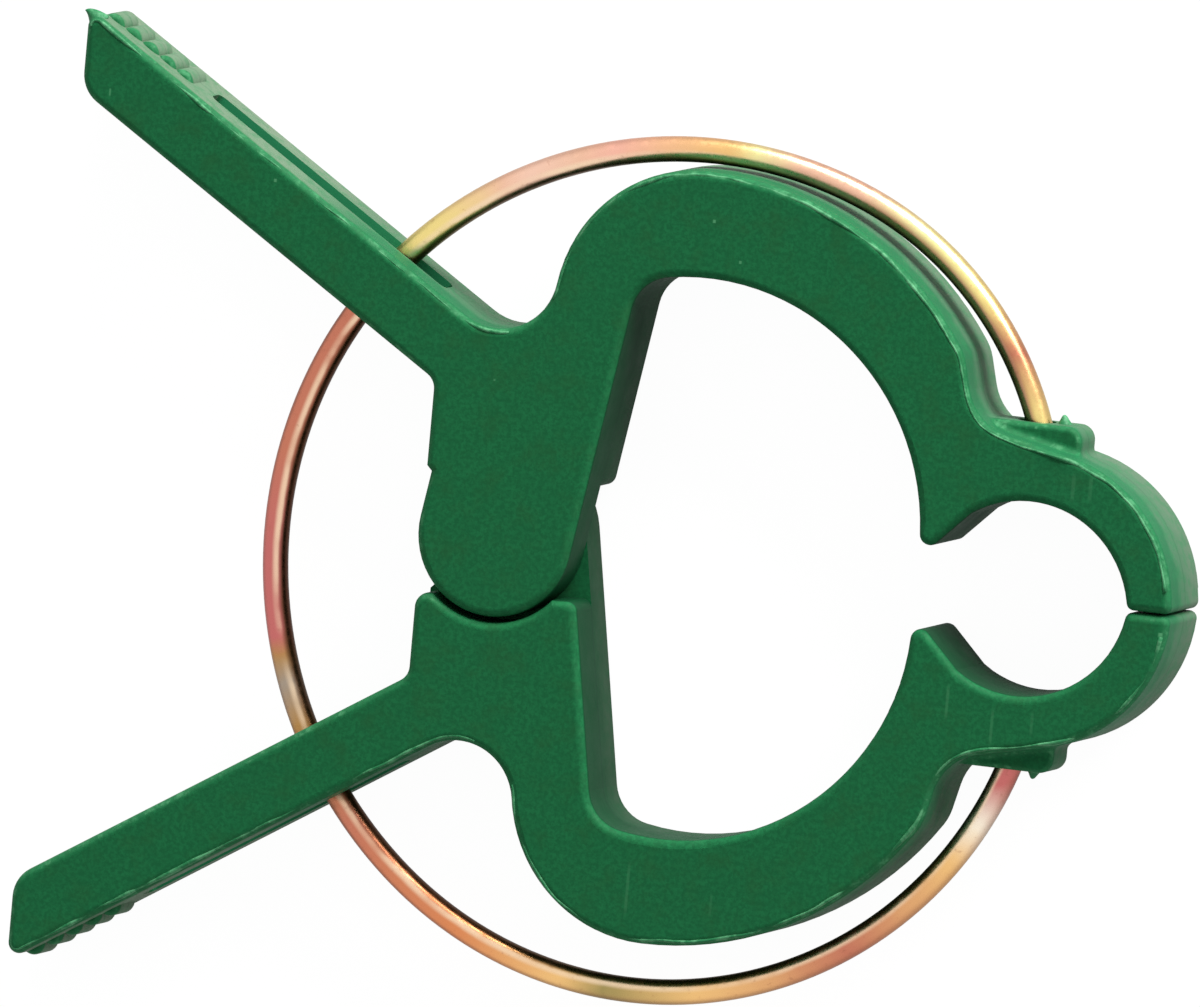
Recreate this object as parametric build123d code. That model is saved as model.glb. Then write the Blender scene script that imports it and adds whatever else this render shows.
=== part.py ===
from build123d import *
import math
import os

# A spring plant clip lying on its side. The origin is the hinge centre at the underside.
# +X runs along the jaws to the nose, +Y across them, +Z up through the thickness.
# The upper half (handle and jaw) and the lower half are one moulding used twice, the second
# turned over about X. An open ring of spring wire threads both handles and pulls the jaws shut.

# overall moulding
thickness = 5.0
edge_radius = 0.4
closed_gap = 0.1
overrun = 2.0

# half-lap hinge: a round ear in one layer, a hollow for the mate's ear in the other. The ear's
# two straight sides lean as the hub's right side does, and its left one starts at a nick.
ear_radius = 3.75
ear_play = 0.27
layer_play = 0.12
hub_left_x = -3.6
hub_lean = 9.3
nick_y = 2.95
nick_drop = 0.25
hollow_lip_y = 2.8
hollow_lip_lean = 3.0
hollow_left_radius = 0.7
hollow_right_radius = 0.5

# jaw arch
arch_top_y = 18.1
arch_top_x = 8.8
arch_front_radius = 15.6
arch_back_radius = 6.95
arch_flank_height = 3.0
arch_flank_lean = 14.0
arch_flank_radius = 2.4
window_centre_x = 9.25
window_centre_y = 1.85
window_radius = 11.27
window_corner_radius = 2.0
crotch_radius = 2.8

# nose: the eye's centre lies a little past the seam, so the closed eye is wider than tall
nose_x = 26.0
nose_radius = 6.95
nose_slope = 12.0
nose_heel_radius = 2.6
nose_tip_radius = 0.35
eye_setback = 0.25
eye_sink = 0.55
eye_radius = 5.08

# cusp between the window and the eye, with a straight flank on the eye's side
cusp_y = 1.25
cusp_flank_reach = 2.85
cusp_radius = 0.5

# handle
handle_lean = 32.2
handle_height = 3.35
handle_foot_x = -3.6
handle_foot_y = 10.9
handle_end_x = -21.95
handle_inner_radius = 1.6
handle_outer_radius = 0.5
handle_root_radius = 0.8

# slot for the ring
slot_length = 14.4
slot_width = 1.5
slot_start = 0.4
slot_corner_radius = 0.4

# grip ribs in the middle of the handle's outer side
rib_count = 5
rib_pitch = 1.05
rib_radius = 0.6
rib_height = 0.3
rib_width = 2.5
rib_end_radius = 0.35
rib_end_setback = 1.2

# ring socket pad on the nose, rooted in the arch's wall, with soft edges and a rounded foot
pad_front_reach = 1.6
pad_height = 1.15
pad_width = 2.6
pad_corner_radius = 0.7
pad_edge_radius = 0.3
pad_foot_radius = 0.4
pad_sink = 1.6
socket_setback = 0.95
socket_lean = 70.0
socket_radius = 0.85
socket_depth = 2.0

# spring ring, which just clears the top of the upper arch
wire_diameter = 1.2
ring_play = 0.17
ring_x = 8.58
ring_y = -1.0
ring_upper_angle = 68.0
ring_lower_angle = 230.0
ring_end_clearance = 0.3

mid_plane = thickness / 2
lean = math.radians(handle_lean)
outer_foot = Vector(handle_foot_x, handle_foot_y)
along_handle = Vector(-math.cos(lean), math.sin(lean))
off_handle = Vector(math.sin(lean), math.cos(lean))
inner_foot = outer_foot - off_handle * handle_height
along_hub = Vector(math.sin(math.radians(hub_lean)), math.cos(math.radians(hub_lean)))
across_hub = Vector(along_hub.Y, -along_hub.X)
pad_top_y = nose_radius + pad_height
socket_x = nose_x - socket_setback
ring_radius = arch_top_y + ring_play + wire_diameter / 2 - ring_y


def on_handle(foot, x):
    """The point at x on the handle's outer or inner line, which starts at foot."""
    return foot + along_handle * ((x - foot.X) / along_handle.X)


def circle_y(centre_x, centre_y, radius, x):
    """The upper height of a circle at x."""
    return centre_y + math.sqrt(radius**2 - (x - centre_x) ** 2)


def reach_circle(start, direction, centre, radius):
    """The point where a line from start, inside a circle, leaves that circle."""
    gap = start - centre
    along = gap.dot(direction)
    return start + direction * (math.sqrt(along**2 - gap.dot(gap) + radius**2) - along)


def round_corner(face, point, radius):
    """The face with its corner nearest to point rounded."""
    corner = min(face.vertices(), key=lambda v: math.hypot(v.X - point.X, v.Y - point.Y))
    return fillet(corner, radius)


def outline():
    """The moulding's outline with sharp corners, then each corner rounded by its own radius."""
    ear_right = across_hub * ear_radius
    ear_tip = along_hub * -ear_radius
    ear_left = across_hub * -ear_radius
    nick_foot = ear_left + along_hub * ((nick_y - nick_drop - ear_left.Y) / along_hub.Y)
    nick_top = Vector(hub_left_x, nick_y)
    window_centre = Vector(window_centre_x, window_centre_y)
    window_foot = reach_circle(ear_right, along_hub, window_centre, window_radius)
    window_top = Vector(window_centre_x, window_centre_y + window_radius)
    window_end = Vector(
        window_centre_x + math.sqrt(window_radius**2 - (cusp_y - window_centre_y) ** 2),
        cusp_y,
    )
    seam_y = closed_gap / 2
    eye_x = nose_x - eye_setback
    flank_x = eye_x - cusp_flank_reach
    eye_start = Vector(flank_x, circle_y(eye_x, -eye_sink, eye_radius, flank_x))
    eye_top = Vector(eye_x, eye_radius - eye_sink)
    eye_end = Vector(eye_x + math.sqrt(eye_radius**2 - (seam_y + eye_sink) ** 2), seam_y)
    tip = Vector(nose_x + math.sqrt(nose_radius**2 - seam_y**2), seam_y)
    turn = math.radians(90 - nose_slope)
    half_turn = turn / 2
    nose_side = Vector(
        nose_x + nose_radius * math.cos(half_turn), nose_radius * math.sin(half_turn)
    )
    nose_top = Vector(nose_x + nose_radius * math.cos(turn), nose_radius * math.sin(turn))
    slope = math.radians(nose_slope)
    below_top = (nose_top.X - arch_top_x) * math.tan(slope) + arch_flank_height
    flank_line = Vector(arch_top_x, nose_top.Y + below_top)
    down_slope = Vector(math.cos(slope), -math.sin(slope))
    front_centre = Vector(arch_top_x, arch_top_y - arch_front_radius)
    flank_top = reach_circle(flank_line, down_slope, front_centre, arch_front_radius)
    flank_lean = math.radians(arch_flank_lean)
    down_flank = Vector(math.sin(flank_lean), -math.cos(flank_lean))
    gain = -down_flank.Y - down_flank.X * math.tan(slope)
    heel = flank_top + down_flank * (arch_flank_height / gain)
    front_mid_x = (arch_top_x + flank_top.X) / 2
    front_mid = Vector(
        front_mid_x, circle_y(arch_top_x, front_centre.Y, arch_front_radius, front_mid_x)
    )
    arch_top = Vector(arch_top_x, arch_top_y)
    back_centre = Vector(arch_top_x, arch_top_y - arch_back_radius)
    back_mid = back_centre + Vector(-arch_back_radius, arch_back_radius) * math.sqrt(0.5)
    beside_handle = outer_foot + off_handle * crotch_radius
    crotch_distance = arch_back_radius + crotch_radius
    crotch_centre = reach_circle(beside_handle, along_handle, back_centre, crotch_distance)
    to_back = (back_centre - crotch_centre).normalized()
    back_end = crotch_centre + to_back * crotch_radius
    crotch_foot = crotch_centre - off_handle * crotch_radius
    crotch_mid = crotch_centre + (to_back - off_handle).normalized() * crotch_radius
    outer_end = on_handle(outer_foot, handle_end_x)
    inner_end = on_handle(inner_foot, handle_end_x)
    hub_left_top = on_handle(inner_foot, hub_left_x)

    edges = [
        Line(ear_right, window_foot),
        ThreePointArc(window_foot, window_top, window_end),
        Line(window_end, eye_start),
        ThreePointArc(eye_start, eye_top, eye_end),
        Line(eye_end, tip),
        ThreePointArc(tip, nose_side, nose_top),
        Line(nose_top, heel),
        Line(heel, flank_top),
        ThreePointArc(flank_top, front_mid, arch_top),
        ThreePointArc(arch_top, back_mid, back_end),
        ThreePointArc(back_end, crotch_mid, crotch_foot),
        Line(crotch_foot, outer_end),
        Line(outer_end, inner_end),
        Line(inner_end, hub_left_top),
        Line(hub_left_top, nick_top),
        Line(nick_top, nick_foot),
        Line(nick_foot, ear_left),
        ThreePointArc(ear_left, ear_tip, ear_right),
    ]
    face = make_face(edges)
    corners = [
        (window_foot, window_corner_radius),
        (window_end, cusp_radius),
        (eye_end, nose_tip_radius),
        (tip, nose_tip_radius),
        (heel, nose_heel_radius),
        (flank_top, arch_flank_radius),
        (outer_end, handle_outer_radius),
        (inner_end, handle_inner_radius),
        (hub_left_top, handle_root_radius),
    ]
    for point, radius in corners:
        face = round_corner(face, point, radius)
    return face


def with_hollow(face):
    """The back layer's outline: the ear is cut away, and a hollow takes the mate's ear."""
    wide = 2 * (ear_radius + overrun)
    lip = Rot(0, 0, -hollow_lip_lean) * Pos(0, hollow_lip_y - wide / 2) * Rectangle(2 * wide, wide)
    face = face - lip - Circle(ear_radius + ear_play)
    lip_run = math.tan(math.radians(hollow_lip_lean))
    left_corner = Vector(hub_left_x, hollow_lip_y - hub_left_x * lip_run)
    face = round_corner(face, left_corner, hollow_left_radius)
    right_corner = across_hub * ear_radius + along_hub * hollow_lip_y
    return round_corner(face, right_corner, hollow_right_radius)


def slot():
    """The long slot that the ring slides in, cut square through the handle."""
    deep = handle_height + 2 * overrun
    block = Box(slot_length, deep, slot_width)
    block = fillet(block.edges().filter_by(Axis.Y), slot_corner_radius)
    middle = outer_foot + along_handle * (slot_start + slot_length / 2)
    middle = middle - off_handle * (handle_height / 2)
    return Pos(middle.X, middle.Y, mid_plane) * Rot(0, 0, -handle_lean) * block


def ribs():
    """Round grip ribs, rounded at both ends, that stand proud of the handle's outer side."""
    rod = Cylinder(rib_radius, rib_width)
    rod = fillet(rod.edges().filter_by(GeomType.CIRCLE), rib_end_radius)
    tip = on_handle(outer_foot, handle_end_x) - off_handle * (rib_radius - rib_height)
    first = tip - along_handle * rib_end_setback
    places = [first - along_handle * (index * rib_pitch) for index in range(rib_count)]
    return [Pos(place.X, place.Y, mid_plane) * rod for place in places]


def pad():
    """The raised pad that holds one end of the ring, from inside the arch's wall to the nose."""
    back_x = window_centre_x + window_radius
    front_x = nose_x + pad_front_reach
    block = Box(front_x - back_x, pad_sink, pad_width)
    block = Pos((back_x + front_x) / 2, pad_top_y - pad_sink / 2, mid_plane) * block
    top_corner = block.edges().filter_by(Axis.Z).group_by(Axis.Y)[-1].sort_by(Axis.X)[-1]
    block = fillet(top_corner, pad_corner_radius)
    return fillet(block.faces().filter_by(Axis.Z).edges(), pad_edge_radius)


def socket():
    """The blind hole that the ring's end sits in, sloped as the wire arrives."""
    tilt = math.radians(socket_lean)
    inward = Vector(math.cos(tilt), -math.sin(tilt))
    mouth = Vector(socket_x, pad_top_y)
    length = socket_depth + overrun
    middle = mouth + inward * (socket_depth - length / 2)
    turned = Rot(0, 0, -socket_lean) * Rot(0, 90, 0) * Cylinder(socket_radius, length)
    return Pos(middle.X, middle.Y, mid_plane) * turned


def clip_half():
    """One moulding: handle, hub, arch and nose, with its ear in the front layer."""
    front_face = outline()
    split = mid_plane + layer_play / 2
    back = extrude(with_hollow(front_face), split)
    back = fillet(back.faces().sort_by(Axis.Z)[0].edges(), edge_radius)
    front = Pos(0, 0, split) * extrude(front_face, thickness - split)
    front = fillet(front.faces().sort_by(Axis.Z)[-1].edges(), edge_radius)
    bare = front + back + ribs()
    block = pad()
    padded = bare + block
    foot = new_edges(bare, block, combined=padded)
    return fillet(foot, pad_foot_radius) - slot() - socket()


def spring_ring():
    """The open ring, swept along a main arc with a tangent arc to each socket."""
    main = CenterArc(
        (ring_x, ring_y), ring_radius, ring_upper_angle, ring_lower_angle - ring_upper_angle
    )
    tilt = math.radians(socket_lean)
    reach = socket_depth - ring_end_clearance
    end_x = socket_x + reach * math.cos(tilt)
    end_y = pad_top_y - reach * math.sin(tilt)
    upper = TangentArc(main @ 0, (end_x, end_y), tangent=-(main % 0))
    lower = TangentArc(main @ 1, (end_x, -end_y), tangent=main % 1)
    path = Pos(0, 0, mid_plane) * Wire([upper, main, lower])
    start = Plane(origin=path @ 0, z_dir=path % 0)
    return sweep(start * Circle(wire_diameter / 2), path=path)


upper_half = clip_half()
lower_half = Pos(0, 0, thickness) * Rot(180, 0, 0) * clip_half()

os.makedirs("parts", exist_ok=True)
export_step(upper_half, "parts/upper_half.step")
export_step(lower_half, "parts/lower_half.step")
export_step(spring_ring(), "parts/spring_ring.step")
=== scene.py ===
import math

import bpy
from mathutils import Matrix, Vector, noise


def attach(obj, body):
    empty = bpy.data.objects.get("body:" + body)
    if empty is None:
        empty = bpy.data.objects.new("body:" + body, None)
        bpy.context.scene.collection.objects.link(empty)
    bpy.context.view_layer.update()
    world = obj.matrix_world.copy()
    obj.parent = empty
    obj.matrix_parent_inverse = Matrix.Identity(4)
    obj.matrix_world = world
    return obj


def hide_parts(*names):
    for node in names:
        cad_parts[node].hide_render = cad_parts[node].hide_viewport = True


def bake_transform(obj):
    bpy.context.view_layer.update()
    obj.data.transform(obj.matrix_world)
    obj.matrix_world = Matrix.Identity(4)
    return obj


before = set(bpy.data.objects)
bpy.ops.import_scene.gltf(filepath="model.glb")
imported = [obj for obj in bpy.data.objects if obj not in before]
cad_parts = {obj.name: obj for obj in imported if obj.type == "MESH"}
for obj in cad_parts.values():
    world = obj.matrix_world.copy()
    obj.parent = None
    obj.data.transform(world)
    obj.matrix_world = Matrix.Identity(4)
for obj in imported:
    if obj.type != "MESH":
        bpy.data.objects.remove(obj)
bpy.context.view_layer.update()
bpy.ops.object.select_all(action="DESELECT")


# Camera
# A long lens that looks down on the clip's upper side face, leaned a little to the nose's side,
# with the jaws' long axis rolled a few degrees down to the right. The hinge centre on that face
# lies left of the picture's middle and a little below it.

mm = 0.001
picture_width_px = 1200
picture_middle_px = (600.0, 503.5)
hinge_in_picture_px = (493.0, 537.0)
scale_px_per_mm = 21.5
pixel = mm / scale_px_per_mm
camera_distance = 2.0
clip_thickness = 0.005
lean_of_view = math.radians(17.74)
heading_of_lean = math.radians(12.34)
roll_of_clip = math.radians(6.7)
sensor_width_mm = 36.0
nearest_seen = 0.01
farthest_seen = 20.0

# The clip's thickness and long axes, in the camera's own directions: right, up and backwards.
face_axis = Vector(
    (
        -math.sin(lean_of_view) * math.cos(heading_of_lean),
        -math.sin(lean_of_view) * math.sin(heading_of_lean),
        math.cos(lean_of_view),
    )
)
long_axis = Vector((math.cos(roll_of_clip), -math.sin(roll_of_clip), 0.0))
long_axis.z = -long_axis.dot(face_axis) / face_axis.z
long_axis.normalize()
turn_of_camera = Matrix((long_axis, face_axis.cross(long_axis), face_axis))
offset = Vector(
    (
        (picture_middle_px[0] - hinge_in_picture_px[0]) * pixel,
        (hinge_in_picture_px[1] - picture_middle_px[1]) * pixel,
        camera_distance,
    )
)
camera_place = Vector((0, 0, clip_thickness)) + turn_of_camera @ offset
bpy.ops.object.camera_add(location=camera_place, rotation=turn_of_camera.to_euler())
camera = bpy.context.object
camera.name = "camera"
camera.data.sensor_width = sensor_width_mm
camera.data.lens = sensor_width_mm * camera_distance / (picture_width_px * pixel)
camera.data.clip_start = nearest_seen
camera.data.clip_end = farthest_seen
bpy.context.scene.camera = camera
bpy.context.scene.view_settings.view_transform = "Standard"


# Plastic halves
# Two copies of one injection moulding in green polypropylene, the second turned over. The side
# faces are satin with a fine mottle. The walls carry a painted pale sheen below a green strip at
# the front, along the handle and towards the rear, and painted shade inside the jaw window and
# the eye. The rims are pale, partly scuffed and partly a painted highlight, and the slot's floor
# is painted lighter. A parting line runs round the walls, and ejector and gate marks show on the
# faces.


class Socket:
    """One output of a shader node. Sums and products of sockets add their Math nodes."""

    def __init__(self, finish, output):
        self.finish = finish
        self.output = output

    def math(self, operation, *operands):
        inputs = dict(enumerate(operands))
        return self.finish.node("ShaderNodeMath", {"operation": operation}, inputs)

    def __add__(self, other):
        return self.math("ADD", self, other)

    def __sub__(self, other):
        return self.math("SUBTRACT", self, other)

    def __rsub__(self, other):
        return self.math("SUBTRACT", other, self)

    def __mul__(self, other):
        return self.math("MULTIPLY", self, other)

    def __abs__(self):
        return self.math("ABSOLUTE", self)

    __radd__ = __add__
    __rmul__ = __mul__

    def between(self, none_at, full_at):
        """A mask that is 0 at the first value, 1 at the second and smooth between them."""
        settings = {"interpolation_type": "SMOOTHSTEP"}
        inputs = {"Value": self, "From Min": none_at, "From Max": full_at}
        return self.finish.node("ShaderNodeMapRange", settings, inputs)

    def channel(self, letter):
        return self.finish.node("ShaderNodeSeparateXYZ", {}, {0: self}, letter)


class Finish:
    """The nodes of a new material, or of the world. Inputs are sockets, colours or numbers."""

    def __init__(self, name, world=None):
        self.owner = world or bpy.data.materials.new(name)
        self.owner.use_nodes = True
        self.tree = self.owner.node_tree
        self.shader = self.tree.nodes.get("Principled BSDF")

    def node(self, kind, settings=None, inputs=None, output=0):
        """A node of this kind, with its settings set first and then its sockets."""
        made = self.tree.nodes.new(kind)
        for name, value in (settings or {}).items():
            if name == "stops":
                elements = made.color_ramp.elements
                while len(elements) < len(value):
                    elements.new(1.0)
                for element, (position, colour) in zip(elements, value):
                    element.position = position
                    element.color = (*colour, 1.0)
            else:
                setattr(made, name, value)
        for name, value in (inputs or {}).items():
            self.feed(made.inputs[name], value)
        return Socket(self, made.outputs[output])

    def feed(self, socket, value):
        if isinstance(value, Socket):
            self.tree.links.new(value.output, socket)
        elif socket.type == "RGBA":
            socket.default_value = (*value, 1.0)
        else:
            socket.default_value = value

    def noise(self, place, scale, detail, roughness):
        inputs = {"Vector": place, "Scale": scale, "Detail": detail, "Roughness": roughness}
        return self.node("ShaderNodeTexNoise", {}, inputs)

    def mix(self, share, first, second):
        """The first colour with this share of the second laid over it."""
        settings = {"data_type": "RGBA"}
        return self.node("ShaderNodeMix", settings, {0: share, 6: first, 7: second}, 2)

    def surface(self, **values):
        for name, value in values.items():
            self.feed(self.shader.inputs[name.replace("_", " ")], value)

    def show(self, lit):
        """Gives the material's surface, or the world's, this shader."""
        end = self.tree.nodes.get("Material Output") or self.tree.nodes["World Output"]
        self.feed(end.inputs["Surface"], lit)


clear_green = (0.0135, 0.148, 0.052)
dark_green = (0.0100, 0.109, 0.039)
brown_green = (0.020, 0.092, 0.030)
strip_green = (0.016, 0.118, 0.048)
# Painted sheen on the walls: below the front strip, along the handle and towards the rear.
painted_sheen_green = (0.050, 0.138, 0.072)
painted_handle_sheen = (0.180, 0.230, 0.160)
painted_rear_sheen = (0.100, 0.150, 0.100)
# Painted shade on the walls inside the jaw window and the eye.
painted_inner_shade_green = (0.0050, 0.048, 0.018)
parting_dark = (0.008, 0.040, 0.020)
# Painted light on the slot's floor.
painted_slot_light_green = (0.030, 0.270, 0.115)
# Pale green of scuffs, marks and flash, and also of the painted highlight along the rims.
scuff_and_highlight_green = (0.080, 0.290, 0.135)

# The mottle: how fine each pattern is, its number of octaves, and how rough it is.
grain_scale = 4600.0
blot_scale = 1700.0
scuff_scale = 1500.0
cloud_scale = 600.0
grain_octaves = 2.0
mottle_octaves = 3.0
cloudy = 0.6
grainy = 0.7
noise_mean = 0.5

# Places on the clip. A pair is where a mask is 0 and where it is 1.
mid_plane = clip_thickness / 2
window_middle = Vector((0.00925, 0.00185))
window_inner_reach = (0.0121, 0.0116)
eye_middle = Vector((0.02575, -0.00055))
eye_inner_reach = (0.0058, 0.0054)
handle_from_x = (-0.007, -0.012)
below_front_strip = (0.0038, 0.0031)
towards_rear = (0.0031, 0.0006)
sheen_edge_wander = 0.0012
near_parting = (0.00008, 0.000024)
slot_floor = 0.00175
near_slot_floor = (0.0002, 0.0001)

# How far the surface faces along the hinge, which is 0 on a wall and 1 on a side face.
on_wall = (0.50, 0.15)
off_wall = (0.25, 0.55)
off_face = (0.99, 0.85)
on_top = (0.70, 0.95)

# Where each pattern shows, and how strongly.
grain_band = (0.35, 0.65)
dark_blot_band = (0.40, 0.65)
dark_blot_share = 0.35
brown_cloud_band = (0.45, 0.75)
brown_cloud_share = 0.40
clear_blot_band = (0.58, 0.35)
clear_blot_share = 0.42
rear_sheen_share = 0.70
handle_sheen_share = 0.45
inner_shade_share = 0.97
inner_shade_lost_at_rear = 0.30
parting_share = 0.25
inner_parting_share = 0.40
rim_highlight_share = 0.12
scuff_band = (0.50, 0.68)
scuff_share = 0.50
rim_share_lost_inside = 0.85
slot_light_share = 0.80
least_mark = 0.60
core_of_mark_x = 1 / 3
core_of_mark_y = 1 / 2
grain_in_bump = 0.40
bump_strength = 0.15
bump_depth = 0.00004
mean_roughness = 0.48
roughness_spread = 0.25
gloss = 0.04

# Each mark on a side face: its middle along and across the clip in millimetres, its half size
# along and across, and how strongly it shows.
face_marks_mm = [
    (27.78, 5.45, 0.13, 0.75, 0.17),
    (28.62, 5.50, 0.13, 0.75, 0.15),
    (22.64, -5.15, 0.10, 0.95, 0.22),
    (24.88, -6.05, 0.10, 1.00, 0.20),
    (26.80, -5.70, 0.10, 0.65, 0.15),
    (8.00, -15.60, 0.10, 1.45, 0.20),
    (12.10, -15.90, 0.09, 0.65, 0.12),
    (9.36, 15.83, 0.10, 0.10, 0.80),
    (10.79, 14.07, 0.09, 0.09, 0.70),
    (25.39, 7.90, 0.09, 0.09, 0.60),
    # The pale speck below is a painted highlight, where light catches the flash on the edge.
    (-12.08, 15.38, 0.10, 0.10, 0.75),
    (-20.50, 18.60, 0.06, 0.22, 0.55),
    (-0.60, 7.30, 0.07, 0.07, 0.45),
    (32.60, -0.90, 0.14, 0.12, 0.85),
]

plastic = Finish("green_plastic")
place = plastic.node("ShaderNodeTexCoord", output="Object")
along_clip = place.channel("X")
across_clip = place.channel("Y")
height = place.channel("Z")
facing_up = plastic.node("ShaderNodeNewGeometry", output="Normal").channel("Z")
flatness = abs(facing_up)
grain = plastic.noise(place, grain_scale, grain_octaves, grainy)
blots = plastic.noise(place, blot_scale, mottle_octaves, cloudy)
cloud = plastic.noise(place, cloud_scale, mottle_octaves, cloudy)
scuffing = plastic.noise(place, scuff_scale, mottle_octaves, grainy)

face_green = plastic.mix(grain.between(*grain_band), dark_green, clear_green)
dark_blots = blots.between(*dark_blot_band) * dark_blot_share
face_green = plastic.mix(dark_blots, face_green, dark_green)
brown_clouds = cloud.between(*brown_cloud_band) * brown_cloud_share
face_green = plastic.mix(brown_clouds, face_green, brown_green)


def within(middle, reach):
    """1 inside the mirrored circles about this middle, seen along the hinge, and 0 outside."""
    off_x = along_clip - middle.x
    off_y = abs(across_clip) - middle.y
    return (off_x * off_x + off_y * off_y).between(reach[0] ** 2, reach[1] ** 2)


inside = within(window_middle, window_inner_reach) + within(eye_middle, eye_inner_reach)
ragged_height = height + (cloud - noise_mean) * sheen_edge_wander
below_strip = ragged_height.between(*below_front_strip)
on_handle = along_clip.between(*handle_from_x)
painted_sheen_mask = below_strip + on_handle - below_strip * on_handle
# Painted sheen: the walls turn pale below the front strip and on the handle, greyer towards the
# rear and paler again on the handle.
wall_green = plastic.mix(painted_sheen_mask, strip_green, painted_sheen_green)
rearward = ragged_height.between(*towards_rear)
wall_green = plastic.mix(rearward * rear_sheen_share, wall_green, painted_rear_sheen)
wall_green = plastic.mix(on_handle * handle_sheen_share, wall_green, painted_handle_sheen)
clear_blots = blots.between(*clear_blot_band) * clear_blot_share
wall_green = plastic.mix(clear_blots, wall_green, clear_green)
# Painted shade darkens the walls inside the jaw window and the eye, a little less towards the
# rear.
painted_inner_wall_shade = inside * (inner_shade_share - rearward * inner_shade_lost_at_rear)
wall_green = plastic.mix(painted_inner_wall_shade, wall_green, painted_inner_shade_green)
parting = abs(height - mid_plane).between(*near_parting)
parting = parting * (parting_share + inside * inner_parting_share)
wall_green = plastic.mix(parting, wall_green, parting_dark)
colour = plastic.mix(flatness.between(*on_wall), face_green, wall_green)
# The rims' rounded band is painted paler: a steady painted highlight, with scuffed wear laid over
# it.
rim_highlight_and_scuff = flatness.between(*off_wall) * flatness.between(*off_face)
rim_highlight_and_scuff = rim_highlight_and_scuff * (rim_highlight_share + scuffing.between(*scuff_band) * scuff_share)
rim_highlight_and_scuff = rim_highlight_and_scuff * (1 - inside * rim_share_lost_inside)
colour = plastic.mix(rim_highlight_and_scuff, colour, scuff_and_highlight_green)
top = facing_up.between(*on_top)
# Painted light lifts the slot's floor, which shade would keep dark.
in_slot = abs(height - slot_floor).between(*near_slot_floor)
colour = plastic.mix(in_slot * top * slot_light_share, colour, painted_slot_light_green)
marks = 0.0
for mark_x, mark_y, half_x, half_y, strength in face_marks_mm:
    off_x = abs(along_clip - mark_x * mm)
    off_y = abs(across_clip - mark_y * mm)
    near_x = off_x.between(half_x * mm, half_x * mm * core_of_mark_x)
    near_y = off_y.between(half_y * mm, half_y * mm * core_of_mark_y)
    marks = marks + near_x * near_y * strength
colour = plastic.mix(marks * top * (least_mark + scuffing), colour, scuff_and_highlight_green)
unevenness = grain * grain_in_bump + cloud
bump_inputs = {"Strength": bump_strength, "Distance": bump_depth, "Height": unevenness}
bump = plastic.node("ShaderNodeBump", {}, bump_inputs)
satin = mean_roughness + (cloud - noise_mean) * roughness_spread
plastic.surface(Base_Color=colour, Roughness=satin, Specular_IOR_Level=gloss, Normal=bump)
for name in ("upper_half", "lower_half"):
    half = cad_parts[name]
    half.data.materials.clear()
    half.data.materials.append(plastic.owner)


# Flash ridges
# Where the mould's plates met, a hair-thin ridge of plastic stands along the outer edge of each
# half's side face. It was never trimmed, so it is pale and wavy, and worn away in places.

ridge_radius = 0.00008
ridge_step = 0.00035
ridge_wave = 0.00009
ridge_offset = 0.00020
ridge_sink = 0.00009
ridge_bevel_resolution = 1
probe_depth = 0.0011
wave_scale = 650.0
wave_seed = 3
wear_scale = 500.0
usual_ridge = 0.85
ridge_spread = 1.6
least_ridge = 0.15
most_ridge = 1.6
same_point = 0.000001
face_play = 0.00001
flat_facing = 0.999
window_reach = 0.0118
eye_reach = 0.0059
hub_left = -0.0046
hub_right = 0.0080
hub_top = 0.0085
handle_foot = Vector((-0.0036, 0.0109))
handle_lean = math.radians(32.2)
off_handle = Vector((math.sin(handle_lean), math.cos(handle_lean)))
handle_band = 0.0012
seam_reach = 0.0005
torn_band = (0.40, 0.65)
torn_roughness = 0.5
torn_gloss = 0.2


def on_outside(x, y):
    """Whether a point of the upper half's rim lies along the clip's outside."""
    point = Vector((x, y))
    inside_jaw = (point - window_middle).length < window_reach
    inside_eye = (point - eye_middle).length < eye_reach
    at_hub = hub_left < x < hub_right and y < hub_top
    under_handle = x < handle_foot.x and (point - handle_foot).dot(off_handle) < -handle_band
    return not (inside_jaw or inside_eye or at_hub or under_handle or y < seam_reach)


def pick(piece, kind, wanted):
    """In edit mode, selects the vertices, edges or faces of a piece that a test wants."""
    bpy.ops.object.mode_set(mode="EDIT")
    bpy.ops.mesh.select_mode(type=kind)
    bpy.ops.mesh.select_all(action="DESELECT")
    bpy.ops.object.mode_set(mode="OBJECT")
    mesh = piece.data
    parts = {"VERT": mesh.vertices, "EDGE": mesh.edges, "FACE": mesh.polygons}[kind]
    for part in parts:
        part.select = wanted(part)
    bpy.ops.object.mode_set(mode="EDIT")


def close_up():
    """Merges the active piece's doubled points, turns its faces outwards and shades it smooth."""
    bpy.ops.object.mode_set(mode="EDIT")
    bpy.ops.mesh.select_all(action="SELECT")
    bpy.ops.mesh.remove_doubles(threshold=same_point)
    bpy.ops.mesh.normals_make_consistent(inside=False)
    bpy.ops.object.mode_set(mode="OBJECT")
    bpy.ops.object.shade_smooth()


torn = Finish("torn_plastic")
torn_place = torn.node("ShaderNodeTexCoord", output="Object")
torn_grain = torn.noise(torn_place, scuff_scale, mottle_octaves, grainy)
torn_green = torn.mix(torn_grain.between(*torn_band), clear_green, scuff_and_highlight_green)
torn.surface(Base_Color=torn_green, Roughness=torn_roughness, Specular_IOR_Level=torn_gloss)

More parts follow.
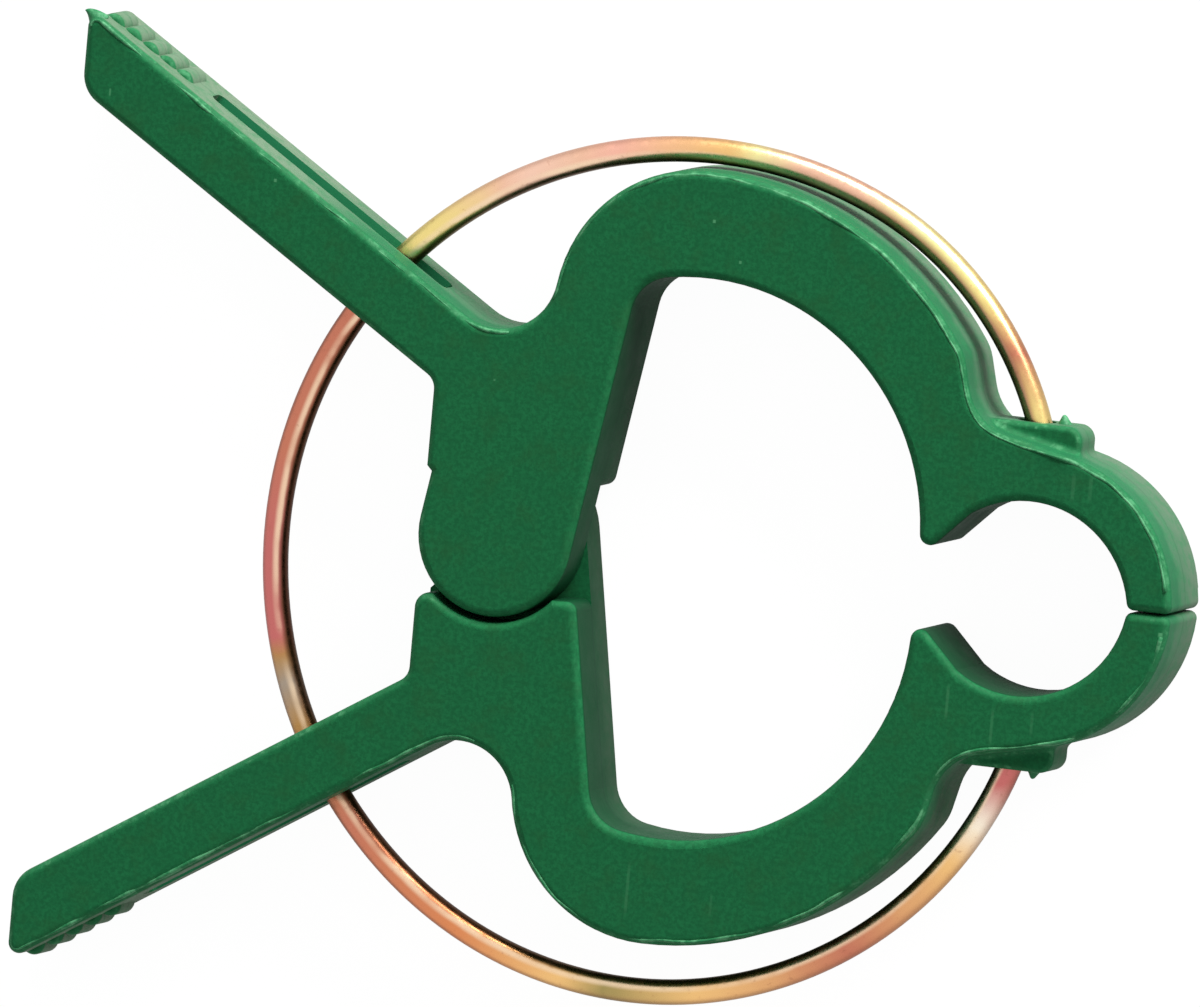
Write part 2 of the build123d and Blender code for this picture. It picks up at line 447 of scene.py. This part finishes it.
noise.seed_set(wave_seed)
for body, side in (("upper", 1), ("lower", -1)):
    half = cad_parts[body + "_half"]
    bpy.ops.object.select_all(action="DESELECT")
    ridge = bpy.data.objects.new(body + "_flash", half.data.copy())
    bpy.context.collection.objects.link(ridge)
    ridge.select_set(True)
    bpy.context.view_layer.objects.active = ridge

    # Of a copy of the half, only the rim of its upper side face stays, along the outside.
    bpy.ops.object.mode_set(mode="EDIT")
    bpy.ops.mesh.select_all(action="SELECT")
    bpy.ops.mesh.remove_doubles(threshold=same_point)
    bpy.ops.object.mode_set(mode="OBJECT")
    face_height = clip_thickness - face_play
    pick(ridge, "FACE", lambda part: part.normal.z > flat_facing and part.center.z > face_height)
    bpy.ops.mesh.region_to_loop()
    bpy.ops.mesh.select_all(action="INVERT")
    bpy.ops.mesh.delete(type="EDGE")
    bpy.ops.object.mode_set(mode="OBJECT")
    pick(ridge, "VERT", lambda part: not on_outside(part.co.x, part.co.y * side))
    bpy.ops.mesh.delete(type="VERT")
    bpy.ops.object.mode_set(mode="OBJECT")

    # Its long edges are halved until none is longer than a step.
    long_edges = True
    while long_edges:
        points = ridge.data.vertices
        long_edges = {
            edge.index
            for edge in ridge.data.edges
            if (points[edge.vertices[0]].co - points[edge.vertices[1]].co).length > ridge_step
        }
        pick(ridge, "EDGE", lambda part: part.index in long_edges)
        if long_edges:
            bpy.ops.mesh.subdivide(number_cuts=1)
        bpy.ops.object.mode_set(mode="OBJECT")

    # Each point moves out towards the nearest wall, waves a little, and sinks onto the edge.
    for point in ridge.data.vertices:
        probe = point.co - Vector((0, 0, probe_depth))
        wall_place = half.closest_point_on_mesh(probe)[1]
        to_wall = (wall_place - probe).normalized()
        point.co += to_wall * ridge_offset
        point.co += noise.noise_vector(point.co * wave_scale) * ridge_wave
        point.co.z -= ridge_sink
    ridge.data.materials.clear()
    bpy.ops.object.convert(target="CURVE")
    ridge = bpy.context.object
    for spline in ridge.data.splines:
        for point in spline.points:
            wear = noise.noise(point.co.xyz * wear_scale)
            thickness = usual_ridge + ridge_spread * wear
            point.radius = min(max(thickness, least_ridge), most_ridge)
    ridge.data.bevel_depth = ridge_radius
    ridge.data.bevel_resolution = ridge_bevel_resolution
    ridge.data.use_fill_caps = True
    bpy.ops.object.convert(target="MESH")
    ridge = bpy.context.object
    close_up()
    ridge.data.materials.append(torn.owner)
    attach(ridge, body)


# Gate burrs
# Stubs of plastic left where the half was twisted off the mould's runner: a curled one at the
# outer corner of the handle's end, and a small soft one on the top of the ring socket's pad.

burr_sides = 14
burr_rounding = 2

# Each burr of the upper half: its foot, the way it points, the foot's radius, and the pulls that
# draw it out, each with the share of its width that is left after it.
burrs = {
    "handle_burr": (
        Vector((-0.02140, 0.02165, 0.00435)),
        Vector((-0.6, 0.8, 0.1)),
        0.00062,
        [
            (Vector((-0.00022, 0.00026, 0.00004)), 0.72),
            (Vector((-0.00022, 0.00024, 0.00004)), 0.62),
            (Vector((-0.00022, 0.00012, 0.00003)), 0.50),
            (Vector((-0.00014, 0.00000, 0.00002)), 0.50),
        ],
    ),
    "pad_burr": (
        Vector((0.02638, 0.00795, 0.00250)),
        Vector((0.0, 1.0, 0.0)),
        0.00042,
        [
            (Vector((0.00002, 0.00018, 0.0)), 0.80),
            (Vector((-0.00003, 0.00018, 0.0)), 0.60),
            (Vector((-0.00003, 0.00022, 0.0)), 0.45),
        ],
    ),
}


def turned(vector, side):
    """A vector of the upper half as it is, or turned over about the long axis for the lower."""
    return Vector((vector.x, vector.y * side, vector.z * side))


for body, side in (("upper", 1), ("lower", -1)):
    for name, (foot, heading, foot_radius, pulls) in burrs.items():
        bpy.ops.object.select_all(action="DESELECT")
        middle = Vector((0, 0, mid_plane))
        end = turned(foot - middle, side) + middle
        bpy.ops.mesh.primitive_circle_add(
            vertices=burr_sides,
            radius=foot_radius,
            fill_type="NGON",
            location=end,
            rotation=turned(heading, side).to_track_quat("Z", "Y").to_euler(),
        )
        burr = bpy.context.object
        burr.name = body + "_" + name
        bpy.ops.object.transform_apply(location=True, rotation=True, scale=True)
        bpy.ops.object.mode_set(mode="EDIT")
        bpy.ops.mesh.select_all(action="SELECT")
        for pull, share_left in pulls:
            step = turned(pull, side)
            end = end + step
            bpy.ops.mesh.extrude_region_move(TRANSFORM_OT_translate={"value": step})
            bpy.ops.transform.resize(value=(share_left,) * 3, center_override=end)
        bpy.ops.object.mode_set(mode="OBJECT")
        rounding = burr.modifiers.new("rounding", "SUBSURF")
        rounding.levels = burr_rounding
        rounding.render_levels = burr_rounding
        bpy.ops.object.modifier_apply(modifier=rounding.name)
        close_up()
        burr.data.materials.append(torn.owner)
        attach(burr, body)


# Spring ring
# An open ring of round spring steel wire, coiled and then zinc plated, with a yellow chromate
# passivation that shows gold, pink, copper and straw patches. Its two ends swing with the noses
# that they sit in, and the long bend between them rides on neither half.

wire_radius = 0.0006
ring_centre = Vector((0.00858, -0.001, mid_plane))
ring_radius = 0.01987
ring_upper_angle = math.radians(68)
ring_lower_angle = math.radians(230)
ring_end_x = 0.02563
ring_end_y = 0.0065
sides_of_wire = 28
step_along_ring = math.radians(1.5)
sharp_angle = math.radians(50)
quarter_turn = math.radians(90)
full_turn = 2 * math.pi
olive = (0.36, 0.28, 0.10)
dull_gold = (0.44, 0.24, 0.08)
gold = (0.86, 0.52, 0.20)
straw = (0.86, 0.68, 0.25)
lemon_highlight = (0.88, 0.80, 0.36)
salmon = (0.86, 0.52, 0.36)
pink = (0.90, 0.47, 0.36)
blush = (0.90, 0.58, 0.44)
orange = (0.70, 0.25, 0.10)
copper = (0.55, 0.185, 0.115)
rose = (0.54, 0.15, 0.14)
lilac = (0.36, 0.30, 0.24)
chalk = (0.94, 0.84, 0.68)
# Painted highlight colour for a streak along the wire.
painted_glint = (0.92, 0.70, 0.48)
# Brown of the coat's speckles, also used as painted shade on the wire.
brown_speckle_and_shade = (0.32, 0.12, 0.07)
# Painted shade colour for the wire's inner side.
painted_ring_shade = (0.080, 0.034, 0.014)

# Where each colour of the coat is purest, from the upper socket at 0 to the lower one at 1. The
# two lemon stops are painted highlights.
coat_stops = [
    (0.000, olive),
    (0.022, straw),
    (0.048, copper),
    (0.074, straw),
    (0.108, lemon_highlight),
    (0.145, salmon),
    (0.170, salmon),
    (0.191, lemon_highlight),
    (0.208, gold),
    (0.252, pink),
    (0.272, salmon),
    (0.290, blush),
    (0.306, salmon),
    (0.335, straw),
    (0.360, straw),
    (0.385, copper),
    (0.456, copper),
    (0.500, rose),
    (0.532, rose),
    (0.540, dull_gold),
    (0.556, lilac),
    (0.574, dull_gold),
    (0.620, copper),
    (0.690, orange),
    (0.738, gold),
    (0.762, olive),
    (0.798, gold),
    (0.872, copper),
    (0.932, gold),
    (0.955, chalk),
    (0.980, rose),
]

# The coat's patterns, over which a painted highlight streak and painted shade on the wire's
# inner side, outer side and inner half near the upper socket are laid. Outwards runs from -1 on
# the ring's inside to 1 on its outside, and a pair is where a mask is 0 and where it is 1.
drift_scale = 260.0
speckle_scale = 2600.0
coat_octaves = 3.0
drifting = 0.5
drift_along = 0.03
drift_outwards = 0.5
glint_inner_edge = (-0.6, -0.4)
glint_outer_edge = (0.1, -0.3)
glint_drift = (0.3, 0.6)
glint_share = 0.75
outer_side = (0.4, 1.0)
outer_shade_share = 0.35
speckle_band = (0.60, 0.75)
speckle_share = 0.35
inner_half = (0.35, -0.25)
near_upper_socket = (0.22, 0.12)
socket_shade_share = 0.80
inner_side = (-0.35, -0.80)
ring_shade_share = 0.92
least_roughness = 0.27
roughness_gain = 0.12
worn_band = (0.4, 0.7)

zinc = Finish("yellow_zinc")
along_wire = zinc.node("ShaderNodeAttribute", {"attribute_name": "along"}, {}, "Fac")
outward_of_wire = zinc.node("ShaderNodeAttribute", {"attribute_name": "outward"}, {}, "Fac")
wire_place = zinc.node("ShaderNodeTexCoord", output="Object")
drift = zinc.noise(wire_place, drift_scale, coat_octaves, drifting)
speckle = zinc.noise(wire_place, speckle_scale, coat_octaves, grainy)
coat_place = along_wire + (drift - noise_mean) * drift_along
outwards = outward_of_wire + (drift - noise_mean) * drift_outwards
coat = zinc.node("ShaderNodeValToRGB", {"stops": coat_stops}, {0: coat_place})
# A painted highlight: a pale streak along the wire just inside its middle.
painted_glint_band = outwards.between(*glint_inner_edge) * outwards.between(*glint_outer_edge)
coat = zinc.mix(painted_glint_band * drift.between(*glint_drift) * glint_share, coat, painted_glint)
# Painted shade darkens the wire's outer side; the brown speckles after it are the coat's own.
coat = zinc.mix(outwards.between(*outer_side) * outer_shade_share, coat, brown_speckle_and_shade)
coat = zinc.mix(speckle.between(*speckle_band) * speckle_share, coat, brown_speckle_and_shade)
# Painted shade on the inner half of the wire near the upper socket.
shade_near_socket = outwards.between(*inner_half) * coat_place.between(*near_upper_socket)
coat = zinc.mix(shade_near_socket * socket_shade_share, coat, brown_speckle_and_shade)
# Painted shade darkens the wire's inner side all round the ring.
coat = zinc.mix(outwards.between(*inner_side) * ring_shade_share, coat, painted_ring_shade)
worn = least_roughness + speckle.between(*worn_band) * roughness_gain
zinc.surface(Base_Color=coat, Metallic=1.0, Roughness=worn)

first_angle = math.atan2(ring_end_y - ring_centre.y, ring_end_x - ring_centre.x)
last_angle = math.atan2(-ring_end_y - ring_centre.y, ring_end_x - ring_centre.x) + full_turn


def direction(angle):
    return Vector((math.cos(angle), math.sin(angle), 0.0))


def bend_wire(name, arc_centre, radius, start_angle, swing):
    """A length of wire along an arc from start_angle, anticlockwise by swing."""
    bpy.ops.object.select_all(action="DESELECT")
    bpy.ops.mesh.primitive_circle_add(
        vertices=sides_of_wire,
        radius=wire_radius,
        location=arc_centre + direction(start_angle) * radius,
        rotation=(quarter_turn, 0, start_angle),
    )
    wire = bpy.context.object
    wire.name = name
    bpy.ops.object.transform_apply(location=True, rotation=True, scale=True)
    bpy.ops.object.mode_set(mode="EDIT")
    bpy.ops.mesh.select_all(action="SELECT")
    steps = round(abs(swing) / step_along_ring)
    bpy.ops.mesh.spin(steps=steps, angle=-swing, center=arc_centre, axis=(0, 0, 1))
    bpy.ops.mesh.select_all(action="DESELECT")
    bpy.ops.mesh.select_non_manifold()
    bpy.ops.mesh.fill_holes(sides=sides_of_wire)
    close_up()
    bpy.ops.object.shade_smooth_by_angle(angle=sharp_angle)

    # Two values follow the wire wherever it bends: how far along it a point is, from the upper
    # socket to the lower one, and how far towards the ring's outside it lies, from -1 to 1.
    along = wire.data.attributes.new("along", "FLOAT", "POINT")
    outward = wire.data.attributes.new("outward", "FLOAT", "POINT")
    for number, vertex in enumerate(wire.data.vertices):
        spoke = vertex.co - ring_centre
        angle = math.atan2(spoke.y, spoke.x) % full_turn
        along.data[number].value = (angle - first_angle) / (last_angle - first_angle)
        off_arc = (vertex.co - arc_centre).xy.length - radius
        outward.data[number].value = off_arc / wire_radius
    wire.data.materials.append(zinc.owner)
    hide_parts("spring_ring")
    return wire


# Each end is an arc that leaves the ring's circle at a joint, in its line, for its socket.
joints = {}
for body, side, joint_angle in (("upper", 1, ring_upper_angle), ("lower", -1, ring_lower_angle)):
    joints[body] = ring_centre + direction(joint_angle) * ring_radius
    end = Vector((ring_end_x, side * ring_end_y, ring_centre.z))
    chord = end - joints[body]
    radius = -chord.length_squared / (2 * chord.dot(direction(joint_angle)))
    arc_centre = joints[body] - direction(joint_angle) * radius
    swing = -side * direction(joint_angle).angle(end - arc_centre)
    wire_end = bend_wire("ring_" + body + "_end", arc_centre, radius, joint_angle, swing)
    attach(wire_end, body)
ring_swing = ring_lower_angle - ring_upper_angle
ring_bend = bend_wire("ring_bend", ring_centre, ring_radius, ring_upper_angle, ring_swing)
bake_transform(ring_bend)


# Studio
# A pale table under a soft white tent, with one long low lamp beyond the upper jaw, so that the
# walls that face it are light and the walls inside the jaws stay dark.

table_size = 6.0
table_drop = 0.00003
table_white = (0.93, 0.93, 0.93)
table_roughness = 0.9
table_gloss = 0.1
table_glow = 1.05
seen_share = 0.92
mirrored_share = 0.25
tent_strength = 0.46
backdrop_strength = 1.0
lamp_place = Vector((0.25, 0.53, 0.145))
lamp_width = 0.6
lamp_height = 0.26
lamp_watts = 8.0
white = (1.0, 1.0, 1.0)

bpy.ops.object.select_all(action="DESELECT")
bpy.ops.mesh.primitive_plane_add(size=table_size, location=(0, 0, -table_drop))
table = bpy.context.object
table.name = "table"
paper = Finish("table_paper")
paper.surface(
    Base_Color=table_white, Roughness=table_roughness, Specular_IOR_Level=table_gloss
)
seen = paper.node("ShaderNodeLightPath", output="Is Camera Ray")
mirrored = paper.node("ShaderNodeLightPath", output="Is Glossy Ray")
glow_inputs = {"Color": white, "Strength": table_glow}
glow = paper.node("ShaderNodeEmission", {}, glow_inputs)
lit = Socket(paper, paper.shader.outputs[0])
glow_share = seen * seen_share + mirrored * mirrored_share
paper.show(paper.node("ShaderNodeMixShader", {}, {0: glow_share, 1: lit, 2: glow}))
table.data.materials.append(paper.owner)

bpy.context.scene.world = bpy.data.worlds.new("tent")
tent = Finish("tent", bpy.context.scene.world)
light_inputs = {"Color": white, "Strength": tent_strength}
tent_light = tent.node("ShaderNodeBackground", {}, light_inputs)
backdrop_inputs = {"Color": white, "Strength": backdrop_strength}
backdrop = tent.node("ShaderNodeBackground", {}, backdrop_inputs)
seen = tent.node("ShaderNodeLightPath", output="Is Camera Ray")
mirrored = tent.node("ShaderNodeLightPath", output="Is Glossy Ray")
passed = tent.node("ShaderNodeLightPath", output="Is Transmission Ray")
any_seen = seen + mirrored + passed
tent.show(tent.node("ShaderNodeMixShader", {}, {0: any_seen, 1: tent_light, 2: backdrop}))

bpy.ops.object.light_add(type="AREA", location=lamp_place)
lamp = bpy.context.object
lamp.name = "low_lamp"
lamp.rotation_euler = lamp_place.to_track_quat("Z", "Y").to_euler()
lamp.data.shape = "RECTANGLE"
lamp.data.size = lamp_width
lamp.data.size_y = lamp_height
lamp.data.energy = lamp_watts
lamp.visible_camera = False
